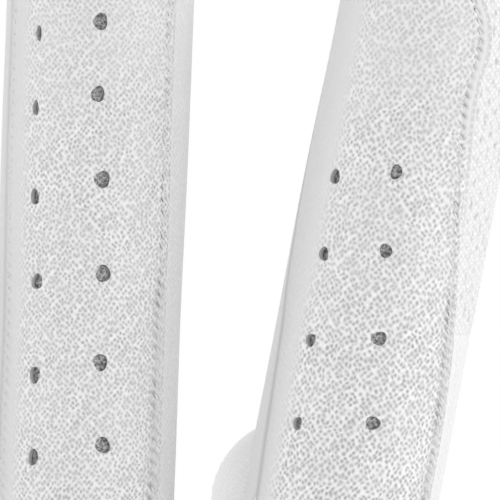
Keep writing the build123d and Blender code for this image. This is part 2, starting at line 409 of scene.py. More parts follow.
fingerLeather = leatherMaterial("whiteCabrettaLeather", "back", True)
handLeather = leatherMaterial("whiteCabrettaHandLeather", "back", False, 0.6)
forkLeather = leatherMaterial("softForkLeather", "fork", True, 0.45)
softHandLeather = leatherMaterial("softQuirkLeather", "fork", False, 0.3)
fingerPalmLeatherPaintedLight = leatherMaterial("smoothPalmLeatherPaintedLight", "palm", True, 0.35)
handPalmLeatherPaintedLight = leatherMaterial("smoothHandPalmLeatherPaintedLight", "palm", False, 0.35)
greyTricot = liningMaterial()
whiteThread = threadMaterial()
knitYarn = clothMaterial("whiteStretchKnit", "#F6F6F6", "#E6E6E6", 0.55, 0.06, byMap=True, turn=0.7)
bindingTape = clothMaterial("wovenBindingTape", "#EDEDED", "#CFCFCF", 0.45)
hookTape = clothMaterial("mouldedHookTape", "#E4E4E4", "#A8A8A8", 0.9, 0.35, 0.45)
loopTape = clothMaterial("brushedLoopTape", "#ECECEC", "#BDBDBD", 0.7, 0.3, 0.95)
elasticWebbing = clothMaterial("braidedElastic", "#EBEBEB", "#C4C4C4", 1.1, 0.25)
softTricot = clothMaterial("whiteTricot", "#EEEEEE", "#D2D2D2", 0.5)
labelSatin = clothMaterial("satinLabel", "#F3F3F3", "#E2E2E2", 0.3, 0.03, 0.4)
print("materials done")


def evenHoles(rows, drop):
    # two columns of perforations up the middle of a finger: height, angle and share of full width of each
    return [(s - drop, -28 - 0.1 * s, 0.9) for s in rows] + [(s, 18 - 0.1 * s, 1.0) for s in rows]


# Heights on a finger run from its hinge; angles run from the middle of the back towards the thumb side.
# radius is that at the hinge and at the tip, and a waist or a fuller side has its place, reach and depth;
# step and rowStep space the points across and along; seamDepth is how deep the low and the high seam are
# stitched, and line how much shade is painted along the low seam's edge; pore is the size of the pores and
# coarse how much deeper they are near the root; faint is how smooth the low side is stretched, and bend the
# height above which the strip beyond the high seam is smooth; a hole has its height, angle and share of full
# width, and tall is its share of full height
fingerShape = {
    "index": {
        "radius": (10.75, 10.6), "fullness": (-95, 40, 0.27),
        "step": 0.3, "rowStep": 0.2, "pitch": 1.08, "seamDepth": (0.1, 1.0), "line": 0.4,
        "pore": 1.1, "coarse": 0.18, "faint": 0.9, "bend": 38, "tall": 0.88,
        "high": [(-12, 92), (-6, 81), (0, 74), (8, 73), (16.7, 67.4), (29, 55), (36, 49.4), (42, 44.6),
                 (46, 43.6), (48.6, 45.5), (50.3, 48.3), (52.3, 45.4), (54.4, 42), (56, 37), (62, 20)],
        "low": [(-12, -50), (-2, -52), (6.6, -55.5), (16.3, -60.5), (21, -67), (30, -73), (42, -79),
                (50, -84), (56, -90)],
        "holes": [(5.9, -28, 0.65), (15.25, -30.1, 0.75), (24.95, -33, 0.8), (33.6, -35.8, 0.9),
                  (7.6, 19.2, 0.92), (16.95, 13.1, 0.96), (26.65, 7.1, 0.78), (35.45, 4.3, 0.78)],
    },
    "middle": {
        "radius": (10.35, 10.6), "waist": (20, 13, 0.2),
        "step": 0.36, "rowStep": 0.215, "pitch": 1.3, "seamDepth": (0.3, 0.9), "line": 0.25,
        "pore": 1.0, "coarse": 0, "faint": 0.9, "bend": 99, "tall": 1.0,
        "high": [(-12, 48), (-3, 65), (0, 67), (21, 67.5), (30, 66.5), (39.5, 64.5), (54, 64.5), (64, 72),
                 (71.2, 90)],
        "low": [(-12, -44), (-3, -56), (0, -57), (54, -58), (64, -70), (71.2, -90)],
        "holes": [(2.6, -22.6, 0.8), (11.8, -24, 0.85), (22.25, -24.7, 0.85), (31.7, -27.9, 0.7),
                  (41.65, -29.4, 0.5), (50, -29, 0.45), (4.25, 23, 1.0), (13.5, 19.6, 0.95),
                  (23.4, 19.3, 1.0), (33.9, 16.4, 1.05), (43.4, 11.8, 0.85), (51.5, 11.9, 0.95)],
    },
    "ring": {
        "radius": (10.5, 10.3),
        "high": [(-12, 44), (-3, 55), (46, 57), (56, 69), (63.2, 90)],
        "low": [(-12, -44), (-3, -55), (46, -57), (56, -69), (63.2, -90)],
        "holes": evenHoles([6, 15.6, 25.4, 35.2, 44.8], 1.3),
    },
    "little": {
        "radius": (9.4, 9.1),
        "high": [(-12, 44), (-3, 52), (30, 54), (40, 68), (47.2, 90)],
        "low": [(-12, -90), (60, -90)],
        "holes": evenHoles([8, 17.6, 27.2], 1.3),
    },
}
for fingerName in ("ring", "little"):
    fingerShape[fingerName].update(step=0.45, rowStep=0.33, pitch=1.3, seamDepth=(0.8, 0.8), line=0.1,
                                   pore=1.0, coarse=0, faint=0.5, bend=99, tall=1.0)
forkBase, panelBase = -3.2, -11.8     # where forks and panels leave the hand's leather
leatherThickness = 0.7
forkThickness = 0.6
forkStep = 0.36
forkSeam = 0.12          # how deep a fork's edges are stitched, against a back panel's


def fingerFrame(name):
    # the hinge, the ways across and along the finger, and how far the apex is from the hinge
    j = joints[f"{name}_bend"]
    origin = np.array(j["pos_m"]) / mm
    across = -np.array(j["axis"])
    along = np.cross(across, -back)
    top = max(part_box(f"{name}_back")[1][2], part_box(f"{name}_palm")[1][2]) / mm
    r = fingerShape[name]["radius"][1]
    return {"origin": origin, "across": across, "along": along, "tip": (top - r - origin[2]) / along[2] + r}


frames = {name: fingerFrame(name) for name in fingerNames}


def stallRadius(name, s, angle=0.0):
    # a slight waist below the tip, and a fuller side where the leather pulls round
    shape = fingerShape[name]
    low, high = shape["radius"]
    tip = frames[name]["tip"]
    s = np.asarray(s, float)
    r = low + (high - low) * smooth(0, 40, s)
    if "waist" in shape:
        place, width, deep = shape["waist"]
        r = r - deep * hump(s - place, width)
    if "fullness" in shape:
        side, spread, full = shape["fullness"]
        r = r + full * hump(np.asarray(angle, float) - side, spread) * (1 - smooth(32, 50, s))
    above = np.clip(s - (tip - high), 0, high)
    return r * np.sqrt(np.clip(1 - (above / high) ** 2, 0, 1))


def outward(name, angle):
    a = np.radians(angle)
    return np.outer(np.sin(a), frames[name]["across"]) + np.outer(np.cos(a), back)


def onFinger(name, angle, s, r):
    f = frames[name]
    return f["origin"] + outward(name, angle) * np.reshape(r, (-1, 1)) + np.outer(s, f["along"])


def fingerPlace(name, co):
    # a point's angle, height and distance from the finger's middle line
    f = frames[name]
    d = co - f["origin"]
    side, front = d @ f["across"], d @ back
    return np.degrees(np.arctan2(side, front)), d @ f["along"], np.hypot(side, front)


def seamAngle(table, s):
    # rounded corners: the mean of a few neighbours along the seam
    xs, ys = zip(*table)
    return sum(np.interp(np.asarray(s) + d, xs, ys) for d in (-1.2, -0.6, 0, 0.6, 1.2)) / 5


def palmSeams(name):
    # the palm's seams mirror the back's, except over the index's mesh, where they run straight
    tip = frames[name]["tip"]
    high = [(-12, 44), (-3, 56), (tip - 24, 57), (tip - 15, 69), (tip - 7, 90)]
    low = [(s, -angle) for s, angle in high]
    if name == "index":
        high = [(-12, 88), (-3, 60), (tip - 14, 57), (tip, 40)]
    if name == "little":
        low = fingerShape[name]["low"]
    return [(s, 180 - a) for s, a in high], [(s, 180 - a) for s, a in low]


# The form: one smooth hand that every leather piece is laid on
handStations = {
    "height": [-8, 18, 40, 64, 90, 118, 132, 140, 144],
    "left": [-40.9, -38, -40.5, -43, -44, -43, -42.5, -40, -37],
    "right": [40.9, 38, 40.5, 43, 46, 49, 48, 45, 42],
    "back": [-25.6, -24, -23.5, -21.5, -19, -16.5, -13.5, -10, -5.5],
    "palm": [25.6, 24, 24, 23, 20.5, 17, 13.5, 10, 5.5],
}
thumb = {
    "root": (47.0, 20.0, 84.0), "apex": (29.0, 45.0, 155.0), "radius": (12.0, 9.7),
    "thenar": (32.0, 4.0, 38.0), "thenarRadius": 15.0, "seat": 4.0, "shoulder": 12.6,
    "step": 0.4,
    "pitch": 1.3,            # mm from stitch to stitch
    "tuck": 1.0, "tuckReach": 2.2,   # the lowest leather turns in under the welt
    "folds": (44.0, 47.5), "foldDepth": 0.2, "foldWidth": 0.8,
    "blend": 12.0,           # the leather bends over this far on each side of the hinge
}
formVoxel = 0.9
cuffHeight = 1.0         # the panels stop this far above the floor, inside the binding


def ball(name, segments, rings):
    # a unit ball, with its points' share of the way up and angle round
    deselect()
    bpy.ops.mesh.primitive_uv_sphere_add(segments=segments, ring_count=rings, radius=1)
    obj = bpy.context.object
    obj.name = name
    co = points(obj) * mm
    return obj, co, 1 - np.arccos(np.clip(co[:, 2], -1, 1)) / math.pi, np.arctan2(co[:, 1], co[:, 0])


def handBlank():
    obj, co, t, turn = ball("handBlank", 128, 120)
    s = handStations
    z = s["height"][0] + t * (s["height"][-1] - s["height"][0])
    sides = ("left", "right", "back", "palm")
    left, right, front, palm = (np.interp(z, s["height"], s[key]) for key in sides)
    close = np.clip(np.hypot(co[:, 0], co[:, 1]) / 0.12, 0, 1)
    c, n = np.cos(turn), np.sin(turn)
    squareness = 2 / 2.7
    x = (left + right) / 2 + (right - left) / 2 * np.sign(c) * np.abs(c) ** squareness * close
    y = (front + palm) / 2 + (palm - front) / 2 * np.sign(n) * np.abs(n) ** squareness * close
    setPoints(obj, np.stack([x, y, z], 1))
    return obj


def stallBlank(name):
    obj, co, t, turn = ball(f"{name}Blank", 96, 80)
    tip = frames[name]["tip"]
    s = -32 + (tip + 32) * t
    r = stallRadius(name, s) * np.where(s < 0, np.clip(np.hypot(co[:, 0], co[:, 1]) / 0.15, 0, 1), 1)
    setPoints(obj, onFinger(name, np.degrees(turn), s, r))
    return obj


def capsule(name, start, end, r0, r1):
    # a round-ended tube between two points
    obj, co, t, _ = ball(name, 64, 48)
    start, end = np.array(start, float), np.array(end, float)
    along = (end - start) / np.linalg.norm(end - start)
    side = np.cross(along, back)
    side /= np.linalg.norm(side)
    share = smooth(0.35, 0.65, t)
    r = (r0 + (r1 - r0) * share)[:, None]
    local = placed(co, side, np.cross(along, side), along)
    setPoints(obj, start + np.outer(share, end - start) + local * r)
    return obj


thumbRoot, thumbApex = np.array(thumb["root"]), np.array(thumb["apex"])
thumbAlong = (thumbApex - thumbRoot) / np.linalg.norm(thumbApex - thumbRoot)
thumbOut = np.array([1.0, 0, 0]) - thumbAlong * thumbAlong[0]
thumbOut /= np.linalg.norm(thumbOut)
thumbAway = np.cross(thumbAlong, thumbOut)    # away from the palm
thumbLength = np.linalg.norm(thumbApex - thumbRoot)
thumbMean = 11.0         # a mean radius, which gives the patterns round the thumb their scale


def onThumb(angle, s, r):
    # angle from outward, towards away from the palm; height from the thumb's root
    a = np.radians(angle)
    out = np.outer(np.cos(a), thumbOut) + np.outer(np.sin(a), thumbAway)
    return thumbRoot + out * np.reshape(r, (-1, 1)) + np.outer(s, thumbAlong)


def thumbSpot(angle, s, r):
    return onThumb(angle, np.array([s]), np.array([r]))[0]


def thumbFacing(angle):
    return thumbSpot(angle, 0.0, 1.0) - thumbRoot


def thumbRadius(s):
    low, high = thumb["radius"]
    r = np.interp(s, [0, thumbLength - high], [low, high])
    above = np.clip(np.asarray(s, float) - (thumbLength - high), 0, high)
    return r * np.sqrt(np.clip(1 - (above / high) ** 2, 0, 1))


# soft hills on the hand: place across and up, side, reach across and up, height
swells = [
    (41.0, 119.0, -1, 9, 10, 1.3),       # the four knuckles
    (13.5, 123.0, -1, 9, 10, 1.5),
    (-13.0, 121.0, -1, 9, 10, 1.3),
    (-34.0, 115.0, -1, 8, 9, 1.1),
    (0.0, 78.0, -1, 26, 34, 0.9),
    (-26.0, 66.0, 1, 13, 26, 2.2),       # the heel of the hand and the ball of the thumb
    (20.0, 60.0, 1, 12, 24, 1.8),
    (2.0, 82.0, 1, 15, 24, -3.0),        # the palm's hollow
    (0.0, 119.0, 1, 34, 8, 1.0),
]
# folds across the hand: height, slope, side, middle, reach, depth, width
folds = [
    (56.0, 0.10, -1, -6, 30, 0.35, 2.2),
    (61.5, -0.06, -1, 4, 34, 0.3, 2.4),
    (104.0, 0.05, -1, 4, 30, 0.28, 2.0),
    (110.0, -0.03, -1, -8, 26, 0.25, 1.8),
    (103.0, -0.22, 1, -8, 34, 0.75, 2.2),
    (92.0, 0.30, 1, 8, 32, 0.7, 2.4),
    (44.0, 0.05, 1, 0, 36, 0.45, 2.0),
    (50.0, -0.07, 1, -6, 30, 0.4, 2.2),
    (130.5, 0.0, 1, 2, 42, 0.5, 2.0),
]
elasticGather = {"height": 30.0, "reach": 10.0, "pitch": 4.2, "depth": 0.55}


def dressForm(obj):
    # the hand's own hills, creases and the gathers over the wrist elastic
    co, normal = points(obj), normals(obj)
    x, y, z = co.T
    lift = np.zeros(len(co))
    for cx, cz, side, rx, rz, height in swells:
        facing = smooth(0.0, 0.6, normal[:, 1] * side)
        lift += height * facing * np.exp(-((x - cx) / rx) ** 2 - ((z - cz) / rz) ** 2)
    for height, slope, side, cx, extent, depth, width in folds:
        line = (z - height - slope * (x - cx) - 0.8 * wobble(x * 0.12, z * 0.02, int(height))) / width
        facing = smooth(0.05, 0.5, normal[:, 1] * side) * (1 - smooth(0.55 * extent, extent, np.abs(x - cx)))
        rims = np.exp(-(line - 1.7) ** 2) + np.exp(-(line + 1.7) ** 2)
        lift += facing * depth * (0.45 * rims - np.exp(-line ** 2))
    g = elasticGather
    near = hump(z - g["height"], g["reach"]) * smooth(0.2, 0.7, normal[:, 1])
    run = x + 0.8 * wobble(z * 0.15, x * 0.08, 5)
    lift += near * g["depth"] * (np.abs(np.sin(math.pi * run / g["pitch"])) - 0.6)
    lift += 0.22 * wobble(x * 0.16, z * 0.13 + y * 0.1, 9)
    hand = (1 - smooth(132, 144, z)) * smooth(6, 12, z)
    setPoints(obj, co + normal * (lift * hand)[:, None])


def makeForm():
    blanks = [handBlank()] + [stallBlank(name) for name in fingerNames]
    shoulder = thumbRoot + thumbAlong * thumb["seat"]
    blanks.append(capsule("thenarBlank", thumb["thenar"], shoulder, thumb["thenarRadius"], thumb["shoulder"]))
    obj = gather("form", blanks)
    modify(obj, "REMESH", mode="VOXEL", voxel_size=formVoxel * mm)
    modify(obj, "SMOOTH", iterations=9, factor=0.5)
    dressForm(obj)
    return obj


form = makeForm()
formTree = BVHTree.FromPolygons([v.co for v in form.data.vertices],
                                [tuple(p.vertices) for p in form.data.polygons])


def reach(start, direction, farthest=40.0):
    # distance from a point, along a direction, to the form's surface
    hit = formTree.ray_cast(Vector(start * mm), Vector(direction), farthest * mm)
    return hit[3] / mm if hit[0] is not None else farthest


def insideForm(co):
    spot, normal, _, _ = formTree.find_nearest(Vector(co * mm))
    return (Vector(co * mm) - spot).dot(normal) < 0


print("form done", len(form.data.vertices))


def settle(name, angle, s, r):
    # near its root a stall follows the form, and above that its own round shape
    f = frames[name]
    farthest = 22
    hold = 1 - smooth(-5.0, 4.0, s)
    out = np.array(r, float)
    base = stallRadius(name, s, angle)
    facing = outward(name, angle)
    for i in np.flatnonzero(hold > 0):
        far = min(reach(f["origin"] + f["along"] * s[i], facing[i]), farthest)
        out[i] += (far - base[i]) * hold[i]
    return out


seam = {
    "place": 1.05,           # mm from the leather's edge to the stitches
    "slope": 0.65,           # how far a pit leans
    "pit": 0.3, "pitWidth": 0.2, "pitReach": 0.32,   # depth, width along the seam and length across it
    "longer": 1.3, "wider": 0.6,     # how much larger a pit is near the finger's root
    "root": (28, 20),        # heights between which the pits grow
    "puff": 0.1,             # height of the leather between the pits
    "sink": 0.07,            # how far the edge rolls down
    "fine": 0.13, "fineStep": 0.3,   # closer columns of points beside a seam, on a panel with this step
    "reach": 2.2,            # how far the closer columns go
}


def seamRelief(s, distance, pitch, lean, seed):
    # each stitch draws the leather into a slanting pit with puffs beside it, longer towards the root, and the
    # edge beyond rolls down a little; distance is in mm from the edge, and the second result is how deep in a
    # crease the point lies, which is painted as shade
    uneven = wobble(s * 0.25, s * 0, seed)
    row = (s + lean * seam["slope"] * distance) / pitch + 0.22 * uneven
    near = (row - np.round(row)) * pitch
    strength = np.clip(0.8 + 0.45 * wobble(s * 1.1, s * 0, seed + 3), 0.25, 1.2)
    aside = distance - seam["place"] - 0.15 * wobble(s * 0.9, s * 0, seed + 5)
    low = smooth(*seam["root"], s)
    long = seam["pitReach"] * (1 + seam["longer"] * low)
    wide = seam["pitWidth"] * (1 + seam["wider"] * low)
    strength = strength + (0.85 - strength) * 0.5 * low
    pit = np.exp(-(near / wide) ** 2 - ((aside - 0.25 * low) / long) ** 2) * strength
    roll = hump(distance, 0.3)
    puff = hump(np.abs(aside) - 0.6, 0.35) * (1 + 0.5 * np.cos(2 * math.pi * (row - 0.5)))
    relief = seam["puff"] * puff - seam["sink"] * roll - seam["pit"] * pit
    return relief, np.clip(0.7 * pit, 0, 1)


hole = {"radius": 0.88, "rim": 0.7, "sink": 0.16}


def holeDimple(name, angle, s):
    # the leather dips at the rim of each hole
    total = np.zeros_like(s)
    for hs, ha, wide in fingerShape[name]["holes"]:
        d = np.hypot(s - hs, np.radians(angle - ha) * stallRadius(name, hs) / wide)
        total -= hole["sink"] * hump(np.maximum(d - hole["radius"], 0), hole["rim"])
    return total


def punchHoles(name, obj):
    # round punched holes through the leather, each a little uneven
    pins = []
    rng = np.random.RandomState(len(name))
    tall = 1.04 * fingerShape[name]["tall"]
    f = frames[name]
    for s, angle, wide in fingerShape[name]["holes"]:
        deselect()
        bpy.ops.mesh.primitive_cylinder_add(vertices=28, radius=hole["radius"], depth=5)
        pin = bpy.context.object
        co = points(pin) * mm
        turn = np.arctan2(co[:, 1], co[:, 0])
        grow = 1 + 0.06 * np.sin(2 * turn + rng.uniform(0, 6)) + 0.06 * np.sin(3 * turn + rng.uniform(0, 6))
        out = outward(name, angle)[0]
        side = np.cross(f["along"], out)
        centre = f["origin"] + f["along"] * s + out * stallRadius(name, s)
        size = np.stack([grow * wide, grow * tall, np.ones_like(grow)], 1)
        setPoints(pin, centre + placed(co * size, side, f["along"], out))
        pins.append(pin)
    tool = gather(f"{name}Punch", pins)
    modify(obj, "BOOLEAN", operation="DIFFERENCE", object=tool, solver="EXACT")
    bpy.data.objects.remove(tool)


def stallRows(tip, high, low, top, step):
    # heights of the rows, closing up evenly over the dome
    straight = np.arange(low, tip - high, step)
    turns = np.linspace(0, math.pi / 2, int(high * math.pi / 2 / step))
    rows = np.concatenate([straight, tip - high + high * np.sin(turns)])
    return np.append(rows[rows < top - 0.1], top)


def columns(width, fine, coarse):
    # places of a panel's columns in 0..1, closer together beside the seams
    edge = np.arange(0, seam["reach"], fine)
    if width < 2 * seam["reach"] + 4 * coarse:
        return np.linspace(0, 1, max(8, int(width / coarse)))
    middle = np.linspace(seam["reach"], width - seam["reach"], int((width - 2 * seam["reach"]) / coarse))
    return np.concatenate([edge, middle, width - edge[::-1]]) / width


def stallPanel(name, piece, lowTable, highTable, base, top, step, rowStep=None, depth=(1.0, 1.0)):
    # a grid between two seams of a finger, from its root to its tip
    tip = frames[name]["tip"]
    shape = fingerShape[name]
    high = shape["radius"][1]
    heights = stallRows(tip, high, base, top, rowStep or step)
    width = np.radians(np.abs(seamAngle(highTable, heights) - seamAngle(lowTable, heights)).max()) * high
    places = columns(width, seam["fine"] * step / seam["fineStep"], step)
    obj, u, v = grid(piece, len(places), len(heights))
    s = np.interp(v, np.linspace(0, 1, len(heights)), heights)
    a0, a1 = seamAngle(lowTable, s), seamAngle(highTable, s)
    angle = a0 + (a1 - a0) * np.interp(u, np.linspace(0, 1, len(places)), places)
    full = stallRadius(name, s, angle)
    distance0 = np.radians(np.abs(angle - a0)) * full
    distance1 = np.radians(np.abs(a1 - angle)) * full
    r = settle(name, angle, s, full)
    relief0, creaseShade0 = seamRelief(s, distance0, shape["pitch"], 1, 11)
    relief1, creaseShade1 = seamRelief(s, distance1, shape["pitch"], -1, 12)
    soft = 0.10 * wobble(s * 0.11, np.radians(angle) * 10 * 0.16, len(name))
    fade = smooth(panelBase, panelBase + 3, s) * (1 - smooth(tip - 3, tip, s))
    r = r + (relief0 * depth[0] + relief1 * depth[1] + soft) * fade
    # painted shade: in the stitch pits, and as a dark line along the low seam's edge
    edge = np.radians(np.abs(angle - seamAngle(shape["low"], s))) * full
    line = shape["line"] * hump(edge, 0.5)
    paint(obj, "creaseShade", np.clip(creaseShade0 * depth[0] + creaseShade1 * depth[1] + line, 0, 1) * fade)
    # the grain grows faint where the leather turns to the low side, towards the tip and beside the stitches
    faint = shape["faint"] * smooth(-29, -43, angle)
    beyond = smooth(seam["place"] + 0.2, seam["place"] - 0.3, distance1)
    beyond = beyond * smooth(shape["bend"], shape["bend"] + 5, s)
    pulled = 0.7 * hump(distance1 - seam["place"], 0.8) * smooth(*seam["root"], s)
    plain = np.maximum.reduce([faint, beyond, pulled, 0.3 * smooth(38, 50, s)])
    paint(obj, "plain", plain - shape["coarse"] * smooth(26, 14, s) * (1 - pulled) * (1 - faint))
    return obj, angle, s, r


def finishPanel(name, obj, angle, s, r, material, thickness=leatherThickness, holes=False):
    if holes:
        r = r + holeDimple(name, angle, s)
    setPoints(obj, onFinger(name, angle, s, r))
    pore = fingerShape[name]["pore"]
    writeUv(obj, np.radians(angle) * fingerShape[name]["radius"][1] / pore, s / pore)
    weld(obj)
    thicken(obj, thickness)
    if holes:
        punchHoles(name, obj)
    shade(obj, material)


def sewToHand(obj, name, slot, *cadNodes):
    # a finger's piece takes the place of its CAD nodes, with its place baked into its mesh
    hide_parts(*cadNodes)
    bridge(obj)


def backPanel(name):
    shape = fingerShape[name]
    tip = frames[name]["tip"]
    obj, angle, s, r = stallPanel(name, f"{name}BackLeather", shape["low"], shape["high"], panelBase, tip,
                                  shape["step"], shape["rowStep"], shape["seamDepth"])
    finishPanel(name, obj, angle, s, r, fingerLeather, holes=True)
    sewToHand(obj, name, "white_leather", f"{name}_back", f"{name}_flex")


# folds across the palm side of a finger: their places as shares of its height, and how far round they reach
flexFold = {
    "step": 0.5, "rowStep": 0.42,
    "places": (0.36, 0.68), "reach": 38,
    "depth": 0.35, "width": 0.8,
    "rim": 0.15, "rimPlace": 1.6, "rimWidth": 0.9,
}


def palmPanel(name):
    f = flexFold
    tip = frames[name]["tip"]
    high, low = palmSeams(name)
    obj, angle, s, r = stallPanel(name, f"{name}PalmLeather", high, low, panelBase, tip, f["step"],
                                  f["rowStep"])
    for height in (tip * share for share in f["places"]):
        line = s - height - 0.5 * wobble(angle * 0.06, s * 0, int(height))
        across = hump(angle - 180, f["reach"])
        rims = hump(np.abs(line) - f["rimPlace"], f["rimWidth"])
        r = r - f["depth"] * across * hump(line, f["width"]) + f["rim"] * across * rims
    finishPanel(name, obj, angle, s, r, fingerPalmLeatherPaintedLight)
    sewToHand(obj, name, "white_leather", f"{name}_palm")


def forkPanel(name, side):
    # side 1 is towards the thumb; a fork ends in a point below the fingertip
    shape = fingerShape[name]
    tip = frames[name]["tip"]
    palmHigh, palmLow = palmSeams(name)
    edges = (shape["high"], palmHigh) if side > 0 else ([(s, a - 360) for s, a in palmLow], shape["low"])
    inner = (name in ("index", "middle")) == (side < 0)
    place = "inner" if inner else "outer"
    obj, angle, s, r = stallPanel(name, f"{name}{place.title()}Fork", *edges, forkBase, tip - 7, forkStep,
                                  depth=(forkSeam, forkSeam))
    finishPanel(name, obj, angle, s, r, forkLeather, forkThickness)
    sewToHand(obj, name, "fork_leather", f"{name}_{place}_fork")


# the strip's first angle and how far round it goes, how far it runs beyond the holes, and its depth
# under the leather
lining = {"angle": -46, "span": 82, "beyond": 4, "under": 0.22, "thickness": 0.25, "mapRadius": 10}


def fingerLining(name):
    # a grey tricot strip lies just under the perforated back
    rows = [row[0] for row in fingerShape[name]["holes"]]
    obj, u, v = grid(f"{name}Lining", 60, 120)
    s = min(rows) - lining["beyond"] + (max(rows) - min(rows) + 2 * lining["beyond"]) * v
    angle = lining["angle"] + lining["span"] * u
    r = stallRadius(name, s) - leatherThickness - lining["under"] + 0.08 * wobble(s * 1.6, angle * 0.3, 4)
    setPoints(obj, onFinger(name, angle, s, r))
    writeUv(obj, np.radians(angle) * lining["mapRadius"], s)
    thicken(obj, lining["thickness"])
    shade(obj, greyTricot)
    sewToHand(obj, name, "finger_lining", f"{name}_lining")


meshPanel = {
    "course": 1.5, "wale": 1.35, "relief": 0.15,     # the loops' height, width and depth
    "margin": 0.4,           # the leather strip between the seam and the knit
    "crossSeam": 18.9,       # height of the seam that ends the knit
    "step": 0.19, "thickness": 0.5,
    "eyePitch": 2.3, "eyeApart": 1.5, "eyeDepth": 0.16,
}


def indexMeshFork():
    # thumb side of the index: a smooth leather strip along the seam, then a stretch knit with slanting loops
    # and small narrow eyes, ended low down by a cross seam, where plain leather takes over
    shape = fingerShape["index"]
    m = meshPanel
    tip = frames["index"]["tip"]
    palmHigh = palmSeams("index")[0]
    obj, angle, s, r = stallPanel("index", "indexMeshFork", shape["high"], palmHigh, m["crossSeam"], tip,
                                  m["step"], depth=(forkSeam, forkSeam))
    run = np.radians(angle) * shape["radius"][1]
    slant = run * 0.8 + s * 0.6
    loops = np.sin(2 * math.pi * slant / m["wale"]) * np.sin(math.pi * (s - run * 0.5) / m["course"])
    away = np.radians(np.abs(angle - seamAngle(shape["high"], s))) * stallRadius("index", s)
    knit = smooth(m["margin"], m["margin"] + 0.5, away)
    knit = knit * smooth(m["crossSeam"] + 0.6, m["crossSeam"] + 1.6, s)
    # the eyes stand in staggered rows, each an upright slit
    lane = np.round(run / m["eyeApart"])
    beside = run - lane * m["eyeApart"] + 0.2 * wobble(s * 0.7, lane, 31)
    step = (s + 0.5 * m["eyePitch"] * (lane % 2)) / m["eyePitch"] + 0.15 * wobble(lane * 3, s * 0.2, 32)
    upright = (step - np.round(step)) * m["eyePitch"]
    eyes = np.exp(-(beside / 0.15) ** 2 - (upright / 0.5) ** 2) * knit
    bead = 0.26 * hump(away - m["margin"], 0.24)
    # the edge rolls down as far as the back panel's does beside it
    roll = (shape["seamDepth"][1] - forkSeam) * seam["sink"] * hump(away, 0.3)
    r = r + knit * m["relief"] * loops + bead * smooth(24, 40, s) - roll - m["eyeDepth"] * eyes
    # painted shade down in the eyes and in the hollows between the loops
    obj.data.attributes.remove(obj.data.attributes["creaseShade"])
    paint(obj, "creaseShade", 0.45 * eyes + 0.2 * knit * np.clip(-loops - 0.2, 0, 1))
    finishPanel("index", obj, angle, s, r, knitYarn, m["thickness"])
    sewToHand(obj, "index", "knit_mesh", "index_outer_fork")


def indexSideLeather():
    # plain leather below the mesh, running to a point at the hand's side seam
    shape = fingerShape["index"]
    palmHigh = palmSeams("index")[0]
    obj, angle, s, r = stallPanel("index", "indexSideLeather", shape["high"], palmHigh, panelBase,
                                  meshPanel["crossSeam"], 0.3, 0.25, (forkSeam, forkSeam))
    r = r - 0.15 * hump(s - meshPanel["crossSeam"], 0.4)
    finishPanel("index", obj, angle, s, r, fingerPalmLeatherPaintedLight, forkThickness)
    sewToHand(obj, "index", "fork_leather")


stitch = {"length": 1.0, "width": 0.3, "slant": 34}


def stitchModel(length, width):
    # one short run of thread, dipping into the leather at both ends
    deselect()
    bpy.ops.mesh.primitive_uv_sphere_add(segments=8, ring_count=7, radius=1, rotation=(0, math.pi / 2, 0))
    model = bpy.context.object
    bpy.ops.object.transform_apply(rotation=True)
    co = points(model) * mm
    co[:, 0] *= length / 2
    co[:, 1:] *= width / 2
    co[:, 2] -= 0.12 * (2 * co[:, 0] / length) ** 2
    setPoints(model, co)
    return model


def sew(name, marks, length=stitch["length"], width=stitch["width"]):
    # copies one stitch to each place: centre, the way the thread runs, the way the leather faces
    model = stitchModel(length, width)
    shape = points(model)
    made = []
    for centre, ahead, out in marks:
        one = twin(model, "stitch")
        side = np.cross(out, ahead)
        setPoints(one, centre + placed(shape, ahead, side, out))
        made.append(one)
    bpy.data.objects.remove(model)
    obj = gather(name, made)
    shade(obj, whiteThread, 80)
    return obj


def seamMarks(name, table, low, high, slant, inward, sink=0.03):
    # places of the stitches along one seam of a finger, between its pits; inward, 1 or -1, is the way round
    # to the panel's middle
    marks = []
    along = frames[name]["along"]
    pitch = fingerShape[name]["pitch"]
    for s in np.arange(round(low / pitch) + 0.5, high / pitch) * pitch:
        r = float(stallRadius(name, s, seamAngle(table, s)))
        angle = float(seamAngle(table, s)) + inward * math.degrees(seam["place"] / r)
        out = outward(name, angle)[0]
        side = np.cross(along, out)
        centre = onFinger(name, angle, np.array([s]), np.array([r - sink]))[0]
        a = math.radians(slant)
        marks.append((centre, along * math.cos(a) + side * math.sin(a), out))
    return marks


def fingerSeams(name):
    shape = fingerShape[name]
    tip = frames[name]["tip"]
    palmHigh, palmLow = palmSeams(name)
    slant = stitch["slant"]
    marks = seamMarks(name, shape["high"], -1, tip - 4, -slant, -1)
    marks += seamMarks(name, palmHigh, -1, tip - 7, slant, 1)
    if name not in ("little", "index"):
        marks += seamMarks(name, shape["low"], -1, tip - 7, slant, 1)
    if name != "little":
        marks += seamMarks(name, palmLow, -1, tip - 7, -slant, -1)
    obj = sew(f"{name}Stitching", marks)
    sewToHand(obj, name, "white_leather")


forkSides = {"index": [-1], "middle": [-1, 1], "ring": [-1, 1], "little": [1]}
for fingerName in fingerNames:
    backPanel(fingerName)
    palmPanel(fingerName)
    for forkSide in forkSides[fingerName]:
        forkPanel(fingerName, forkSide)
    fingerLining(fingerName)
    fingerSeams(fingerName)
    print(fingerName, "done")
indexMeshFork()
indexSideLeather()
print("index mesh done")


# The hand's leather: the form without the fingers, cut along the fingers' panels
stubReach = 15.5         # how far from a finger's middle line the form still belongs to it
webHalf = 5.8            # half the width of the quirk between two fingers
webInset = 3.0           # from a finger's middle line to the quirk's end
webFoot = 130.0          # the quirks reach down to this height


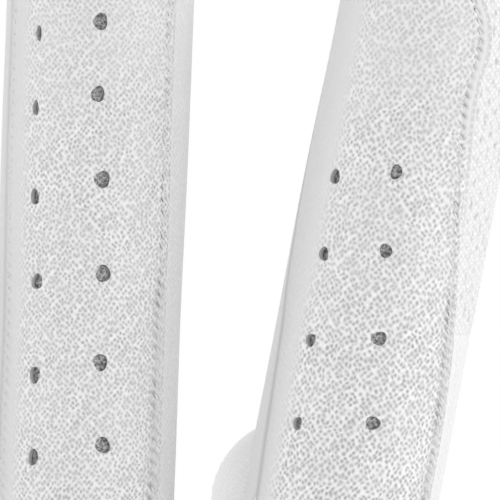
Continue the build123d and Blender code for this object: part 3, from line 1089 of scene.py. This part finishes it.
def panelRoom(name, co, palm=False):
    # above nought inside the part of the form that a finger's back or palm panel covers
    angle, s, _ = fingerPlace(name, co)
    perDegree = math.pi / 180 * fingerShape[name]["radius"][1]
    low, high = fingerShape[name]["low"], fingerShape[name]["high"]
    if palm:
        high, low = [[(h, 180 - a) for h, a in table] for table in palmSeams(name)]
        angle = np.degrees(np.arctan2(np.sin(np.radians(180 - angle)), np.cos(np.radians(180 - angle))))
    sides = np.minimum(angle - seamAngle(low, s), seamAngle(high, s) - angle) * perDegree
    reachRound = 95 if name in ("index", "little") else 60
    facing = (reachRound - np.abs(angle)) * perDegree
    return np.minimum(np.minimum(s - panelBase, sides), facing)


def aboveFork(name, co):
    # above nought in the stub of the finger that its forks cover
    _, s, far = fingerPlace(name, co)
    return np.minimum(s - forkBase, stubReach - far)


def handSkin():
    skin = twin(form, "handSkin")
    trimBy(skin, lambda co: cuffHeight - co[:, 2])
    for name in fingerNames:
        trimBy(skin, lambda co: panelRoom(name, co))
        trimBy(skin, lambda co: panelRoom(name, co, True))
        trimBy(skin, lambda co: aboveFork(name, co))
    return skin


def middleLine(name, z):
    # how far across the hand a finger's middle line runs at a height
    origin, along = frames[name]["origin"], frames[name]["along"]
    return origin[0] + (z - origin[2]) * along[0] / along[2]


def webRoom(one, two, co):
    # above nought in the strip over the saddle between two fingers
    x, y, z = co.T
    right, left = (middleLine(name, z) for name in (one, two))
    return np.minimum(webHalf - np.abs(y), np.minimum(right - webInset - x, x - left - webInset))


def thumbRoom(co):
    # above nought inside the thumb's own tube
    d = co - thumbRoot
    s = d @ thumbAlong
    far = np.linalg.norm(d - np.outer(s, thumbAlong), axis=1)
    return np.minimum(thumbRadius(np.clip(s, 0, 60)) - 2.0 - far, s + 1)


def rollEdges(obj, near, depth=0.34, width=0.55):
    # near is the distance in mm from a seam; the leather turns down into it
    co = points(obj)
    setPoints(obj, co - normals(obj) * (depth * hump(near(co), width))[:, None])


def finishHandPiece(obj, node, slot, material, thickness=leatherThickness):
    thicken(obj, thickness)
    shade(obj, material)
    fasten(obj, "hand", slot, node)


slit = {"centre": -2.0, "height": 52.0, "mouth": 5.0, "top": 0.8, "edgeLength": 100.0}


def slitHalf(z):
    return slit["mouth"] + (slit["top"] - slit["mouth"]) * (z + 4) / (slit["height"] + 4)


def slitRoom(co):
    x, y, z = co.T
    return np.minimum(np.minimum(slitHalf(z) - np.abs(x - slit["centre"]), slit["height"] + 0.5 - z), -y)


def handPieces():
    skin = handSkin()
    pairs = list(zip(fingerNames, fingerNames[1:]))
    for one, two in pairs:
        web = twin(skin, f"{one}{two.title()}Web")
        trimBy(web, lambda co: -webRoom(one, two, co))
        trimBy(web, lambda co: webFoot - co[:, 2])
        trimBy(skin, lambda co: webRoom(one, two, co))
        rollEdges(web, lambda co: webHalf - np.abs(co[:, 1]))
        finishHandPiece(web, f"web_{one}_{two}", "fork_leather", softHandLeather, forkThickness)
    # the back and palm meet at the hand's sides, beyond 30 mm from the middle
    rollEdges(skin, lambda co: np.abs(co[:, 1]) + 9 * (np.abs(co[:, 0]) < 30))
    palm = twin(skin, "palmLeather")
    trimBy(palm, lambda co: -co[:, 1])
    trimBy(palm, thumbRoom)
    finishHandPiece(palm, "palm_panel", "white_leather", handPalmLeatherPaintedLight)
    trimBy(skin, lambda co: co[:, 1])
    trimBy(skin, slitRoom)
    skin.name = skin.data.name = "backLeather"
    finishHandPiece(skin, "back_panel", "white_leather", handLeather)


handPieces()
print("hand leather done")


def thumbJoin(angle):
    # where the thumb leaves the form, found by stepping down from above and then halving the step
    for s in np.arange(45.0, -4.0, -0.5):
        if insideForm(thumbSpot(angle, s, thumbRadius(s))):
            high, low = s + 0.5, s
            for _ in range(4):
                middle = (high + low) / 2
                buried = insideForm(thumbSpot(angle, middle, thumbRadius(middle)))
                high, low = (high, middle) if buried else (middle, low)
            return low
    return thumb["seat"] + 2.5


thumbAngles = np.linspace(-180, 180, 145)
rawJoin = np.array([thumbJoin(a) for a in thumbAngles])
joinLine = np.convolve(np.concatenate([rawJoin[-5:-1], rawJoin, rawJoin[1:5]]), np.ones(9) / 9, "valid")


def sewToThumb(obj):
    bridge(obj)


def thumbHalf(name, low, high, *cadNodes):
    # the thumb is two halves, sewn along its inner and outer sides
    step = thumb["step"]
    r1 = thumb["radius"][1]
    rows = stallRows(thumbLength, r1, 0.0, thumbLength, step)
    obj, u, v = grid(name, int(math.pi * thumbMean / step), len(rows))
    angle = low + (high - low) * u
    base = np.interp(angle, thumbAngles, joinLine) - 2.0
    share = np.interp(v, np.linspace(0, 1, len(rows)), rows) / thumbLength
    # the lowest rows follow the join and the upper ones lie square to the thumb
    s = base + (thumbLength - base) * share
    r = thumbRadius(s)
    relief0, creaseShade0 = seamRelief(s, np.radians(angle - low) * r, thumb["pitch"], 1, 21)
    relief1, creaseShade1 = seamRelief(s, np.radians(high - angle) * r, thumb["pitch"], -1, 22)
    tuck = -thumb["tuck"] * (1 - smooth(0.0, thumb["tuckReach"], s - base))
    tip = 1 - smooth(thumbLength - 3, thumbLength, s)
    # painted shade in the stitch pits
    paint(obj, "creaseShade", (creaseShade0 + creaseShade1) * tip)
    r = r + (relief0 + relief1) * tip + 0.12 * wobble(s * 0.12, angle * 0.03, 8) * tip + tuck
    for height in thumb["folds"]:
        line = s - height - 0.5 * wobble(angle * 0.06, s * 0, int(height))
        r = r - thumb["foldDepth"] * hump(line, thumb["foldWidth"]) * tip
    setPoints(obj, onThumb(angle, s, r))
    writeUv(obj, np.radians(angle) * r1, s)
    weld(obj)
    thicken(obj, leatherThickness)
    # the palm's lighter shades paint light onto the thumb
    shade(obj, fingerPalmLeatherPaintedLight)
    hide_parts(*cadNodes)
    sewToThumb(obj)


thumbHalf("thumbPalmLeather", -180, 0, "thumb_palm", "thumb_flex")
thumbHalf("thumbBackLeather", 0, 180, "thumb_back")
print("thumb done")

welt = {"radius": 0.55, "pitch": 1.6, "bead": 0.12, "stitchAbove": 1.3, "stitchRound": 11.5}


def thumbWelt():
    # a rolled edge with stitches where the thumb is set into the palm
    obj, u, v = grid("thumbSetSeam", 241, 13)
    angle = -180 + 360 * u
    turn = 2 * math.pi * v
    s = np.interp(angle, thumbAngles, joinLine)
    bead = 1 + welt["bead"] * np.sin(2 * math.pi * angle * 0.21 / welt["pitch"])
    r = thumbRadius(s) - 0.1 + welt["radius"] * bead * np.cos(turn)
    setPoints(obj, onThumb(angle, s + welt["radius"] * np.sin(turn), r))
    writeUv(obj, np.radians(angle) * thumbMean, v)
    weld(obj, 0.01)
    marks = []
    ring = welt["stitchRound"]
    for a in np.arange(-180, 180, 360 * welt["pitch"] / (2 * math.pi * ring)):
        s0, here, s1 = np.interp([a - 2, a, a + 2], thumbAngles, joinLine)
        high = here + welt["stitchAbove"]
        ahead = thumbSpot(a + 2, s1, ring) - thumbSpot(a - 2, s0, ring)
        centre = thumbSpot(a, high, thumbRadius(high) + 0.02)
        marks.append((centre, ahead / np.linalg.norm(ahead), thumbFacing(a)))
    sewn = sew("thumbSetStitches", marks)
    shade(obj, forkLeather)
    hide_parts("thumb_base")
    sewToThumb(obj)
    sewToThumb(sewn)


def thumbSeams():
    marks = []
    for angle, slant in ((0, stitch["slant"]), (180, -stitch["slant"])):
        low = float(np.interp(angle, thumbAngles, joinLine)) + 2
        for s in np.arange(low, thumbLength - 4, thumb["pitch"]):
            out = thumbFacing(angle)
            side = np.cross(thumbAlong, out)
            a = math.radians(slant)
            ahead = thumbAlong * math.cos(a) + side * math.sin(a)
            marks.append((thumbSpot(angle, s, thumbRadius(s) - 0.2), ahead, out))
    sewToThumb(sew("thumbStitches", marks))


thumbWelt()
thumbSeams()
print("thumb seams done")


def handDepth(side, x, z):
    # how far out the form's surface lies, on the back (side -1) or the palm (side 1), seen from well outside
    start = 60.0
    depths = [start - reach(np.array([a, side * start, b]), (0, -side, 0), start) for a, b in zip(x, z)]
    return side * np.array(depths)


def onHand(side, x, z, lift):
    # a point of the back or palm, raised along the surface's own slope
    x, z = np.asarray(x, float), np.asarray(z, float)
    near = 1.5
    y = handDepth(side, x, z)
    dx = (handDepth(side, x + near, z) - handDepth(side, x - near, z)) / (2 * near)
    dz = (handDepth(side, x, z + near) - handDepth(side, x, z - near)) / (2 * near)
    normal = np.stack([-dx * side, np.full_like(x, side), -dz * side], 1)
    normal /= np.linalg.norm(normal, axis=1)[:, None]
    return np.stack([x, y, z], 1) + normal * np.reshape(lift, (-1, 1))


def patch(name, side, box, lift, thickness, corner=2.0, step=0.8, ripple=None):
    # a flat patch with round corners, laid over the hand; box is left, right, low, high
    x0, x1, z0, z1 = box
    obj, u, v = grid(name, int((x1 - x0) / step) + 1, int((z1 - z0) / step) + 1)
    z = z0 + (z1 - z0) * v
    end = np.clip((np.abs(z - (z0 + z1) / 2) - (z1 - z0) / 2 + corner) / corner, 0, 1)
    half = (x1 - x0) / 2 - corner * (1 - np.sqrt(1 - end ** 2))
    x = (x0 + x1) / 2 + (2 * u - 1) * half
    extra = ripple(x, z) if ripple else 0
    setPoints(obj, onHand(side, x, z, lift + extra))
    writeUv(obj, x, z)
    if side > 0:
        editAll(obj, bpy.ops.mesh.flip_normals)
    thicken(obj, thickness)
    return obj


binding = {
    "height": 7.0, "cloth": 0.5, "slitCloth": 0.35,
    "measuredAt": 8.0,       # the hand's outline is taken at this height
    "meanRadius": 34.0,
    "stitchHeight": 5.6, "stitchPitch": 2.3, "stitchLength": 1.8, "stitchOut": 0.64,
}
# the tape's profile: distance outside the leather's face, and height
cuffProfile = [(0.55, 7.0), (0.62, 5.0), (0.66, 2.0), (0.6, 0.7), (0.3, 0.12),
               (-0.35, 0.0), (-1.0, 0.12), (-1.28, 0.7), (-1.34, 3.0), (-1.25, 7.0)]


def profileAt(profile, share):
    # the two values of a profile at a share of its way
    return [np.interp(share, np.linspace(0, 1, len(profile)), column) for column in zip(*profile)]


def cuffRim(turn):
    # how far out the hand's leather is at the cuff
    return reach(np.array([0, 0, binding["measuredAt"]]), (math.cos(turn), math.sin(turn), 0), 60)


def cuffBinding():
    # woven tape folded over the lower edge, open at the slit
    z = 3.0
    edge = handDepth(-1, [slit["centre"]], [z])[0]
    first = math.atan2(edge, slit["centre"] + slitHalf(z))
    last = math.atan2(edge, slit["centre"] - slitHalf(z)) + 2 * math.pi
    obj, u, v = grid("cuffBinding", 361, 37)
    turn = first + (last - first) * u
    offset, height = profileAt(cuffProfile, v)
    out = np.array([cuffRim(a) for a in turn]) + offset + 0.05 * wobble(turn * 30, v, 3)
    setPoints(obj, np.stack([out * np.cos(turn), out * np.sin(turn), height], 1))
    writeUv(obj, turn * binding["meanRadius"], height)
    faceOut(obj)
    thicken(obj, binding["cloth"])
    shade(obj, bindingTape)
    fasten(obj, "hand", "binding", "cuff_binding")
    marks = []
    for a in np.arange(first + 0.03, last - 0.02, binding["stitchPitch"] / binding["meanRadius"]):
        out = np.array([math.cos(a), math.sin(a), 0])
        centre = out * (cuffRim(a) + binding["stitchOut"]) + np.array([0, 0, binding["stitchHeight"]])
        marks.append((centre, np.array([-out[1], out[0], 0]), out))
    sewn = sew("cuffStitches", marks, binding["stitchLength"])
    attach(sewn, "hand")


# the slit's tape: distance out from the slit's edge, and lift above the hand's leather
hemProfile = [(3.0, 0.42), (1.6, 0.5), (0.3, 0.52), (-0.25, 0.2),
              (-0.35, -0.4), (-0.2, -1.0), (0.4, -1.25), (2.6, -1.2)]


def slitPath(share, out):
    # along the slit's edge, up one side and down the other, and a distance out from it
    low, top, c = binding["height"] - 1.0, slit["height"] - slit["top"], slit["centre"]
    x = np.empty_like(share)
    z = np.empty_like(share)
    sideShare = 0.46         # of the way is taken by each side, and the rest by the round top
    leftSide, rightSide = share < sideShare, share > 1 - sideShare
    turn = math.pi * (1 - np.clip((share - sideShare) / (1 - 2 * sideShare), 0, 1))
    z[leftSide] = (low + (top - low) * share / sideShare)[leftSide]
    z[rightSide] = (low + (top - low) * (1 - share) / sideShare)[rightSide]
    x[leftSide] = (c - slitHalf(z) - out)[leftSide]
    x[rightSide] = (c + slitHalf(z) + out)[rightSide]
    arc = ~(leftSide | rightSide)
    r = slitHalf(top) + out
    x[arc] = (c + r * np.cos(turn))[arc]
    z[arc] = (top + r * np.sin(turn))[arc]
    return x, z


def slitBinding():
    obj, u, v = grid("slitBinding", 29, 261)
    out, lift = profileAt(hemProfile, u)
    x, z = slitPath(v, out)
    setPoints(obj, onHand(-1, x, z, lift))
    writeUv(obj, out, v * slit["edgeLength"])
    faceOut(obj)
    thicken(obj, binding["slitCloth"])
    shade(obj, bindingTape)
    fasten(obj, "hand", "binding", "slit_binding")


underlay = {"box": (-12.0, 8.0, 3.0, 58.0), "lift": -2.0, "thickness": 0.5, "corner": 3.0, "step": 0.9}


def underlaySag(x, z):
    # the flap sags under the slit and waves a little
    return 0.25 * wobble(x * 0.3, z * 0.2, 6) - 0.5 * hump(x - slit["centre"], 3)


def slitUnderlay():
    obj = patch("slitUnderlay", -1, ripple=underlaySag, **underlay)
    shade(obj, softTricot)
    fasten(obj, "hand", "slit_underlay", "slit_underlay")


tab = {
    "low": 10.0, "high": 42.0,           # its edges across
    "root": 24.0, "bend": 4.0,           # the hinge, and how far to each side the leather bends
    "baseEnd": 36.0, "free": -36.0,      # its ends
    "top": 3.0, "leather": 1.0, "lining": 0.4, "gap": 0.02,
    "hook": 0.5, "loop": 0.8,
    "patch": (-33.0, -10.0), "margin": 4.0, "hookInset": 2.0,
    "stitchIn": 2.0, "pitch": 2.2, "stitchLength": 1.7,
}
tabMiddle = (tab["low"] + tab["high"]) / 2
tabHalf = (tab["high"] - tab["low"]) / 2


def tabOutline(share, side, inset=0.0, start=None):
    # share runs from the sewn base to the free end, side from -1 to 1 across the tab
    begin = tab["baseEnd"] if start is None else start
    bend = tab["free"] + tabHalf
    straight = (begin - bend) / (begin - bend + tabHalf * math.pi / 2)
    turn = np.clip((share - straight) / (1 - straight), 0, 1) * math.pi / 2
    sideways = begin - (begin - bend) * share / straight
    x = np.where(share < straight, sideways, bend - (tabHalf - inset) * np.sin(turn))
    z = tabMiddle + side * (tabHalf - inset) * np.cos(turn)
    return x, z


def tabLift(x):
    # the tab rises from its sewn base to lie over the hook and loop
    return tab["leather"] + 0.15 + (tab["top"] - tab["leather"] - 0.15) * smooth(34, 23, x)


def sewToTab(obj):
    hinge = np.array([tab["root"], handDepth(-1, [tab["root"]], [tabMiddle])[0], tabMiddle])
    bridge(obj)


def closureTab():
    # leather face with a turned edge, sewn down on the thumb side
    obj, u, v = grid("closureTab", 81, 181)
    x, z = tabOutline(v, 2 * u - 1)
    # distance from the tab's edge, for the turned rim
    roundEnd = tabHalf - np.hypot(np.minimum(x - tab["free"] - tabHalf, 0), z - tabMiddle)
    edge = np.minimum(roundEnd, tab["baseEnd"] - x)
    lift = tabLift(x) - 0.4 * hump(edge, 0.5) + 0.12 * hump(edge - 1.1, 0.6)
    lift = lift - 0.18 * hump(edge - tab["stitchIn"], 0.35)
    lift = lift + 0.08 * wobble(x * 0.12, z * 0.12, 2)
    setPoints(obj, onHand(-1, x, z, lift))
    writeUv(obj, x, z)
    weld(obj)
    faceOut(obj)
    thicken(obj, tab["leather"])
    shade(obj, fingerLeather)
    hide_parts("closure_tab", "tab_base")
    sewToTab(obj)


def tabStitches():
    # one row all round, inside the tab's edge
    marks = []
    inset = tab["stitchIn"]
    shares = np.linspace(0.02, 1, 48)
    path = [tabOutline(np.array([s]), np.array([-1.0]), inset) for s in shares]
    path += [tabOutline(np.array([s]), np.array([1.0]), inset) for s in shares[::-1][1:]]
    line = np.array([[x[0], z[0]] for x, z in path])
    baseX = tab["baseEnd"] - inset
    line = np.concatenate([line, [[baseX, tab["high"] - inset], [baseX, tab["low"] + inset]]])
    step = np.hypot(*np.diff(line, axis=0).T)
    run = np.concatenate([[0], np.cumsum(step)])
    for d in np.arange(0.5, run[-1], tab["pitch"]):
        x, z = np.interp(d, run, line[:, 0]), np.interp(d, run, line[:, 1])
        x1, z1 = np.interp(d + 0.4, run, line[:, 0]), np.interp(d + 0.4, run, line[:, 1])
        here, ahead = onHand(-1, [x, x1], [z, z1], tabLift(np.array([x, x1])) - 0.08)
        way = ahead - here
        if np.linalg.norm(way) > 0.05:
            above = onHand(-1, [x], [z], [9.0])[0] - here
            marks.append((here, way / np.linalg.norm(way), above / np.linalg.norm(above)))
    sewToTab(sew("tabStitches", marks, tab["stitchLength"]))


def tabLining():
    obj, u, v = grid("tabLining", 41, 91)
    x, z = tabOutline(v, 2 * u - 1, 0.5, tab["root"] - 1.0)
    setPoints(obj, onHand(-1, x, z, tab["top"] - tab["leather"] - tab["gap"]))
    weld(obj)
    faceOut(obj)
    thicken(obj, tab["lining"])
    shade(obj, softTricot)
    fasten(obj, "tab", "tab_lining", "tab_lining")


def fuzz(x, z):
    return 0.12 * wobble(x * 2.4, z * 2.4, 7)


def hookAndLoop():
    # the loops lie on the hand, and the somewhat smaller hooks under the tab's lining
    x0, x1 = tab["patch"]
    z0, z1 = tab["low"] + tab["margin"], tab["high"] - tab["margin"]
    pile = tab["loop"] - 0.1
    loops = patch("loopPatch", -1, (x0, x1, z0, z1), pile, pile, 2.5, 0.4, fuzz)
    shade(loops, loopTape)
    fasten(loops, "hand", "loop_patch", "loop_patch")
    i = tab["hookInset"]
    under = tab["top"] - tab["leather"] - tab["lining"] - tab["gap"]
    hooks = patch("hookPatch", -1, (x0 + i, x1 - i, z0 + i, z1 - i), under, tab["hook"], 2.0, 0.6)
    shade(hooks, hookTape)
    fasten(hooks, "tab", "hook_patch", "hook_patch")


elastic = {"box": (-33.5, 33.5, 24.0, 36.0), "lift": -leatherThickness - 0.75, "thickness": 0.6,
           "corner": 1.5, "step": 0.6}


def elasticRipple(x, z):
    return 0.35 * np.abs(np.sin(math.pi * x / elasticGather["pitch"])) + 0.1 * wobble(z, x * 0.2, 3)


def wristElastic():
    obj = patch("wristElastic", 1, ripple=elasticRipple, **elastic)
    shade(obj, elasticWebbing)
    fasten(obj, "hand", "wrist_elastic", "wrist_elastic")


label = {"box": (12.0, 28.0, 14.0, 26.0), "lift": -leatherThickness - 0.3, "thickness": 0.25, "corner": 1.0,
         "step": 0.6}


def sizeLabel():
    obj = patch("sizeLabel", -1, **label)
    shade(obj, labelSatin)
    fasten(obj, "hand", "size_label", "size_label")


cuffBinding()
slitBinding()
slitUnderlay()
closureTab()
tabStitches()
tabLining()
hookAndLoop()
wristElastic()
sizeLabel()
print("cuff and closure done")


# Camera: slightly from the thumb side, level with the fingers, with a long lens
cameraTurn, cameraDistance, frameWidth = math.radians(10), 900.0, 56.6
frameCentre, frameHeight = 32.85, 175.7   # to the right of the glove's middle, and above the floor


def makeCamera():
    data = bpy.data.cameras.new("camera")
    data.sensor_width = 36
    data.lens = data.sensor_width * cameraDistance / frameWidth
    camera = bpy.data.objects.new("camera", data)
    right = np.array([math.cos(cameraTurn), math.sin(cameraTurn), 0])
    ahead = np.array([-math.sin(cameraTurn), math.cos(cameraTurn), 0])
    camera.location = (right * frameCentre + np.array([0, 0, frameHeight]) - ahead * cameraDistance) * mm
    camera.rotation_euler = (math.pi / 2, 0, cameraTurn)
    data.clip_end = 20
    bpy.context.collection.objects.link(camera)
    bpy.context.scene.camera = camera


studio = {"ambient": 0.65, "ambientColour": "#F6F6F6", "aim": (0.02, 0, 0.12)}
# soft boxes: name, watts, size, place
softBoxes = [
    ("rightLight", 3.0, 0.7, (1.0, -0.1, 0.35)),
    ("rightFrontLight", 2.0, 0.6, (0.75, -0.75, 0.35)),
    ("leftLight", 2.9, 0.7, (-0.9, -0.45, 0.4)),
    ("backLeftLight", 2.4, 0.7, (-1.0, 0.1, 0.35)),
]


def makeLights():
    for name, power, size, place in softBoxes:
        data = bpy.data.lights.new(name, "AREA")
        data.energy = power
        data.size = size
        lamp = bpy.data.objects.new(name, data)
        lamp.location = place
        lamp.rotation_euler = (Vector(studio["aim"]) - Vector(place)).to_track_quat("-Z", "Y").to_euler()
        bpy.context.collection.objects.link(lamp)


def seenAsBackdrop(tree):
    # 1 where a ray comes straight from the camera, a reflection or clear material
    rays = add(tree, "ShaderNodeLightPath")
    seen = add(tree, "ShaderNodeMath", {"operation": "MAXIMUM"}, i0=rays.outputs["Is Camera Ray"],
               i1=rays.outputs["Is Glossy Ray"])
    return add(tree, "ShaderNodeMath", {"operation": "MAXIMUM"}, i0=seen.outputs["Value"],
               i1=rays.outputs["Is Transmission Ray"]).outputs["Value"]


def makeWorld():
    # an even grey room light, which the camera and reflections see as a white backdrop
    world = bpy.data.worlds.new("studio")
    bpy.context.scene.world = world
    world.use_nodes = True
    tree = world.node_tree
    tree.nodes.clear()
    room = add(tree, "ShaderNodeBackground", Color=linear(studio["ambientColour"]),
               Strength=studio["ambient"])
    backdrop = add(tree, "ShaderNodeBackground", Color=(1, 1, 1, 1), Strength=1.0)
    mixed = add(tree, "ShaderNodeMixShader", Fac=seenAsBackdrop(tree), i1=room.outputs[0],
                i2=backdrop.outputs[0])
    add(tree, "ShaderNodeOutputWorld", Surface=mixed.outputs[0])


paper = {"size": 3.0, "shades": [(0.3, "#EDEDED"), (0.7, "#F1F1F1")], "fade": (90.0, 330.0)}


def makeFloor():
    # pale seamless paper, which fades into the white backdrop away from the glove
    material, tree, shader = newMaterial("palePaper", 0.9, Specular_IOR_Level=0.1)
    where = mapIn(tree, False)
    fibre = add(tree, "ShaderNodeTexNoise", Vector=where, Scale=0.4, Detail=2.0)
    colour = add(tree, "ShaderNodeValToRGB", {"stops": paper["shades"]}, Fac=fibre.outputs["Fac"])
    tree.links.new(colour.outputs["Color"], shader.inputs["Base Color"])
    far = add(tree, "ShaderNodeVectorMath", {"operation": "LENGTH"}, i0=where)
    low, high = paper["fade"]
    fade = add(tree, "ShaderNodeMapRange", {"interpolation_type": "SMOOTHSTEP"}, Value=far.outputs["Value"],
               i1=low, i2=high, i3=0.0, i4=1.0)
    seen = add(tree, "ShaderNodeMath", {"operation": "MULTIPLY"}, i0=fade.outputs["Result"],
               i1=seenAsBackdrop(tree))
    backdrop = add(tree, "ShaderNodeEmission", Color=(1, 1, 1, 1), Strength=1.0)
    mixed = add(tree, "ShaderNodeMixShader", Fac=seen.outputs["Value"], i1=shader.outputs["BSDF"],
                i2=backdrop.outputs[0])
    tree.links.new(mixed.outputs[0], tree.nodes["Material Output"].inputs["Surface"])
    deselect()
    bpy.ops.mesh.primitive_plane_add(size=paper["size"])
    floor = bpy.context.object
    floor.name = "floor"
    floor.data.materials.append(material)


makeCamera()
makeLights()
makeWorld()
makeFloor()
bpy.data.objects.remove(form)

bpy.context.scene.view_settings.view_transform = "Standard"
